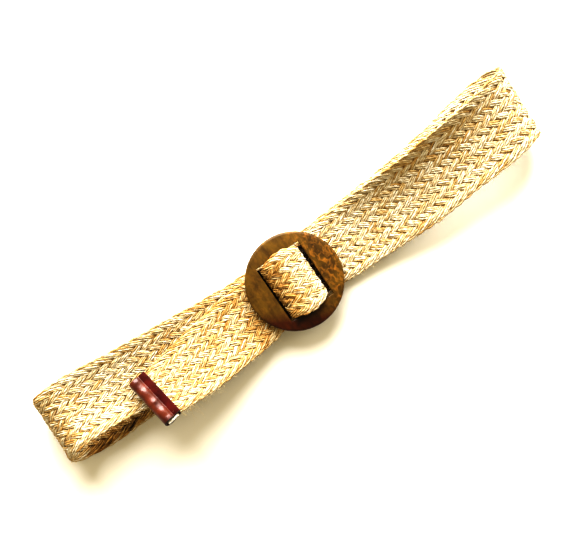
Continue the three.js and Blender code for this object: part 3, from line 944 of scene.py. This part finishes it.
class Look:
    """A material whose nodes are added and joined by short calls."""

    def __init__(self, name):
        self.material = bpy.data.materials.new(name)
        self.material.use_nodes = True
        self.tree = self.material.node_tree
        self.shader = self.tree.nodes["Principled BSDF"]

    def add(self, kind, inputs=None, **settings):
        """A node with its settings. Inputs are values, or sockets to join to."""
        node = self.tree.nodes.new("ShaderNode" + kind)
        for key, value in settings.items():
            setattr(node, key, value)
        for key, value in (inputs or {}).items():
            self.set(node.inputs[key], value)
        return node

    def set(self, socket, value):
        """Joins a socket to another, or gives it a value."""
        if isinstance(value, bpy.types.NodeSocket):
            self.tree.links.new(value, socket)
        else:
            socket.default_value = value

    def math(self, operation, a, b=0.0):
        return self.add("Math", {0: a, 1: b}, operation=operation).outputs[0]

    def plus(self, a, b):
        return self.math("ADD", a, b)

    def times(self, a, b):
        return self.math("MULTIPLY", a, b)

    def place(self):
        """Where a point is on the belt, in metres."""
        return self.add("TexCoord").outputs["Object"]

    def value(self, label):
        """One of the values on the mesh's points."""
        return self.add("Attribute", attribute_name=label).outputs["Fac"]

    def ramp(self, value, stops):
        """A colour for each value between the stops' places."""
        node = self.add("ValToRGB", {"Fac": value})
        elements = node.color_ramp.elements
        while len(elements) < len(stops):
            elements.new(0.5)  # a place for now
        for element, (place, colour) in zip(elements, stops):
            element.position = place
            element.color = (*colour, 1)
        return node.outputs["Color"]

    def mix(self, share, a, b, blend="MIX"):
        """One colour blended with another by a share."""
        node = self.add("Mix", data_type="RGBA", blend_type=blend)
        self.set(node.inputs[0], share)
        for socket, colour in zip(MIX_COLOURS, (a, b)):
            self.set(node.inputs[socket], colour)
        return node.outputs[MIX_RESULT]

    def darken(self, colour, by, share=1.0):
        """A colour multiplied by another, to a share of the full effect."""
        return self.mix(share, colour, by, "MULTIPLY")

    def noise(self, where, scale=1.0, detail=3.0, roughness=0.55, distortion=0.0):
        """Soft patches, as a value from 0 to 1."""
        inputs = {
            "Vector": where,
            "Scale": scale,
            "Detail": detail,
            "Roughness": roughness,
            "Distortion": distortion,
        }
        return self.add("TexNoise", inputs).outputs["Fac"]

    def stretch(self, where, scale):
        """Places multiplied by a factor in each direction."""
        return self.add("Mapping", {"Vector": where, "Scale": scale}).outputs["Vector"]

    def bump(self, height, depth, strength=1.0, normal=None):
        """The surface's direction over a height. The depth is in millimetres."""
        inputs = {"Height": height, "Distance": depth * MM, "Strength": strength}
        if normal is not None:
            inputs["Normal"] = normal
        return self.add("Bump", inputs).outputs["Normal"]

    def finish(self, **inputs):
        """The material, with its shader's inputs set or joined."""
        for key, value in inputs.items():
            self.set(self.shader.inputs[key.replace("_", " ")], value)
        return self.material


def jute_look():
    """Plied straw, with painted shade deep in the braid and between its plies."""
    look = Look("jute")
    run = look.add("UVMap", uv_map="run").outputs["UV"]
    fibres = look.noise(look.stretch(run, FIBRE_STRETCH), detail=4.0)
    slubs = look.noise(look.stretch(run, SLUB_STRETCH), detail=2.0)
    parts = look.add("SeparateXYZ", {"Vector": run})
    turned = look.times(parts.outputs["X"], 2 * math.pi / PLY_TURN)
    round_it = look.times(parts.outputs["Y"], 2 * math.pi * PLIES)
    plies = look.math("SINE", look.plus(turned, round_it))
    tint = look.times(look.value("tint"), TINT_WEIGHT)
    shade = look.times(look.value("shade"), SHADE_WEIGHT)
    tone = look.plus(look.plus(tint, shade), look.times(slubs, SLUB_WEIGHT))
    straw = look.ramp(look.plus(tone, STRAW_TONE), STRAW)
    straw = look.darken(straw, look.ramp(fibres, STREAKS), share=0.8)
    # painted shade in the grooves between the plies
    straw = look.darken(straw, look.ramp(plies, PLY_GROOVE_SHADE), share=0.7)
    # painted shade deep in the braid, by how far into the strap a point lies
    depth = look.math("ABSOLUTE", look.value("lie"))
    straw = look.darken(straw, look.ramp(depth, CREVICE_SHADE), share=0.9)
    twisted = look.bump(plies, depth=0.12, strength=0.7)
    return look.finish(
        Base_Color=straw,
        Roughness=0.62,
        Specular_IOR_Level=0.2,
        Normal=look.bump(fibres, depth=0.3, strength=0.8, normal=twisted),
    )


def fibre_look():
    """The loose fibres, lighter and darker by place."""
    look = Look("jute_fibre")
    spots = look.noise(look.place(), scale=400.0, detail=2.0)
    return look.finish(Base_Color=look.ramp(spots, LOOSE_STRAW), Roughness=0.6)


def wood_look():
    """Mottled wood, with amber flecks on the right, painted shade toward the near rim and a painted
    shadow of the strap.
    """
    look = Look("mottled_wood")
    where = look.place()
    parts = look.add("SeparateXYZ", {"Vector": where})
    side = look.times(parts.outputs["X"], 1 / (DISC_RADIUS * MM))
    across = look.times(parts.outputs["Y"], 1 / (DISC_RADIUS * MM))
    grain = look.noise(look.stretch(where, WOOD_STRETCH), detail=5.0, roughness=0.6)
    patches = look.noise(where, scale=55.0, detail=4.0, roughness=0.6, distortion=0.6)
    tone = look.plus(look.times(patches, PATCH_WEIGHT), look.times(grain, GRAIN_WEIGHT))
    colour = add_flecks(look, look.ramp(tone, WOOD), where, side)
    colour = add_rim_shade(look, colour, side, across)
    colour = add_strap_shadow(look, colour, side, across)
    return look.finish(
        Base_Color=colour,
        Roughness=0.45,
        Specular_IOR_Level=0.25,
        Normal=look.bump(grain, depth=0.06, strength=0.6),
    )


def add_flecks(look, colour, where, side):
    """Amber flecks in the wood, more of them to the right."""
    longer = look.stretch(where, FLECK_STRETCH)
    flecks = look.noise(longer, scale=330.0, detail=4.0, roughness=0.6, distortion=0.8)
    amber = look.darken(look.ramp(flecks, FLECKS), look.ramp(side, FLECKS_TO_RIGHT))
    return look.mix(amber, colour, AMBER)


def add_rim_shade(look, colour, side, across):
    """Painted shade, dark red, that grows toward the near rim."""
    towards = look.times(look.plus(side, look.times(across, RIM_SHADE_ACROSS)), RIM_SHADE_GROWS)
    return look.darken(colour, look.ramp(towards, NEAR_RIM_SHADE))


def add_strap_shadow(look, colour, side, across):
    """A painted shadow of the strap on the near part of the face, just below the strap's edge."""
    near = look.ramp(look.times(across, -1.0), STRAP_SHADOW_ACROSS)
    from_left = look.times(look.plus(side, 1.0), 0.5)
    under = look.ramp(from_left, STRAP_SHADOW_ALONG)
    return look.darken(colour, look.mix(1.0, near, under, "LIGHTEN"))


def leather(name, colours, grain_strength, **finish):
    """Grained leather, blotched in two colours."""
    look = Look(name)
    where = look.place()
    grain = look.noise(where, scale=900.0, detail=4.0)
    blotch = look.noise(where, scale=110.0, detail=3.0)
    return look.finish(
        Base_Color=look.ramp(blotch, colours),
        Normal=look.bump(grain, depth=0.1, strength=grain_strength),
        **finish,
    )


def roll_look():
    """The glossy leather of the roll."""
    return leather(
        "red_brown_leather",
        ROLL_RED,
        grain_strength=0.4,
        Roughness=0.45,
        Specular_IOR_Level=0.2,
        Coat_Weight=0.7,
        Coat_Roughness=0.3,
    )


def flap_look():
    """The darker, duller leather of the flaps."""
    return leather(
        "dark_red_leather",
        FLAP_RED,
        grain_strength=0.5,
        Roughness=0.5,
        Specular_IOR_Level=0.08,
    )


def leather_edge_look():
    """The leather's blackened cut edges."""
    look = Look("blackened_edge")
    grain = look.noise(look.place(), scale=1500.0, detail=3.0)
    return look.finish(
        Base_Color=look.ramp(grain, CUT_EDGE),
        Roughness=0.6,
        Normal=look.bump(grain, depth=0.1, strength=0.5),
    )


def metal_look():
    """Brushed and slightly tarnished metal."""
    look = Look("clip_metal")
    where = look.place()
    brushing = look.noise(look.stretch(where, BRUSH_STRETCH), detail=3.0)
    tarnish = look.noise(where, scale=700.0, detail=3.0)
    return look.finish(
        Base_Color=look.ramp(tarnish, TARNISH),
        Metallic=1.0,
        Roughness=look.ramp(brushing, BRUSHED_ROUGHNESS),
        Normal=look.bump(brushing, depth=0.02, strength=0.5),
    )


def floor_look():
    """A matt white tabletop."""
    return Look("white_table").finish(Base_Color=TABLE, Roughness=0.9)


# The scene round the belt


def add_floor():
    """A plain pale table."""
    half = FLOOR_HALF
    corners = np.array([(-half, -half, 0), (half, -half, 0), (half, half, 0), (-half, half, 0)])
    mesh = mesh_from("floor", corners, np.array([[0, 1, 2, 3]]))
    floor = bpy.data.objects.new("floor", mesh)
    bpy.context.scene.collection.objects.link(floor)
    mesh.materials.append(floor_look())


def matrix_of(side, up, back, place):
    """The matrix of a camera or lamp with these directions at a place."""
    rows = np.eye(4)
    rows[:3] = np.stack([side, up, back, place], 1)
    return Matrix(rows.tolist())


def add_camera():
    """A camera that shows the buckle where the photograph does, at the same size."""
    low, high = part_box("buckle")
    disc = (np.array(low) + np.array(high)) / 2
    elevation = math.radians(CAMERA_ELEVATION)
    heading = math.atan(math.tan(math.radians(BELT_ANGLE)) / math.sin(elevation))
    right = np.array([math.cos(heading), -math.sin(heading), 0])
    level = np.array([math.sin(heading), math.cos(heading), 0])
    ahead = level * math.cos(elevation) - (0, 0, math.sin(elevation))
    up = np.cross(right, ahead)
    to_right = (DISC_PIXEL[0] - PHOTO_WIDE / 2) * MM_PER_PIXEL * MM
    down = (DISC_PIXEL[1] - PHOTO_HIGH / 2) * MM_PER_PIXEL * MM
    place = disc - ahead * CAMERA_HEIGHT * MM - right * to_right + up * down
    data = bpy.data.cameras.new("camera")
    data.sensor_width = SENSOR_WIDE
    data.lens = SENSOR_WIDE * CAMERA_HEIGHT / (PHOTO_WIDE * MM_PER_PIXEL)
    camera = bpy.data.objects.new("camera", data)
    camera.matrix_world = matrix_of(right, up, -ahead, place)
    bpy.context.scene.collection.objects.link(camera)
    bpy.context.scene.camera = camera


def add_lamp(name, place, strength, size, colour):
    """A disc that lights the buckle as strongly as a sun of the same strength. Metres."""
    data = bpy.data.lights.new(name, "AREA")
    data.shape = "DISK"
    data.size = size
    place = np.array(place, float)
    data.energy = strength * math.pi * (place @ place)
    data.color = colour
    lamp = bpy.data.objects.new(name, data)
    back = unit(place)
    side = unit(np.cross((0, 0, 1), back))
    lamp.matrix_world = matrix_of(side, np.cross(back, side), back, place)
    bpy.context.scene.collection.objects.link(lamp)


def add_world(colour, strength):
    """Even light from all round."""
    world = bpy.data.worlds.new("room")
    world.use_nodes = True
    sky = world.node_tree.nodes["Background"]
    sky.inputs["Color"].default_value = (*colour, 1)
    sky.inputs["Strength"].default_value = strength
    bpy.context.scene.world = world


def add_light():
    """A big window beyond the belt, a weak one to the right and warm light from the room."""
    add_lamp(
        "window",
        place=(0.35, 0.95, 0.58),
        strength=15.6,
        size=1.2,
        colour=(0.98, 0.97, 0.96),
    )
    add_lamp(
        "side_window",
        place=(1.0, 0.1, 0.75),
        strength=1.0,
        size=0.7,
        colour=(1.0, 0.95, 0.85),
    )
    add_world(colour=(1.0, 0.84, 0.51), strength=0.83)


def main():
    path = StrapPath()
    add_yarns(path, jute_look())
    fibres = fibre_look()
    add_short_fibres(path, fibres)
    add_long_fibres(path, fibres)
    wood = wood_look()
    add_piece("wooden_disc", disc_mesh(), [wood], "wood", "buckle")
    add_piece("wooden_bar", bar_mesh(), [wood], "wood", "buckle")
    looks = [roll_look(), leather_edge_look(), flap_look()]
    add_piece("leather_roll", leather_mesh(), looks, "leather", "tip_leather")
    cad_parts["tip_clip"].data.materials[0] = metal_look()
    add_floor()
    add_camera()
    add_light()
    view = bpy.context.scene.view_settings
    view.view_transform = "Standard"
    view.exposure = EXPOSURE
    view.gamma = GAMMA


main()
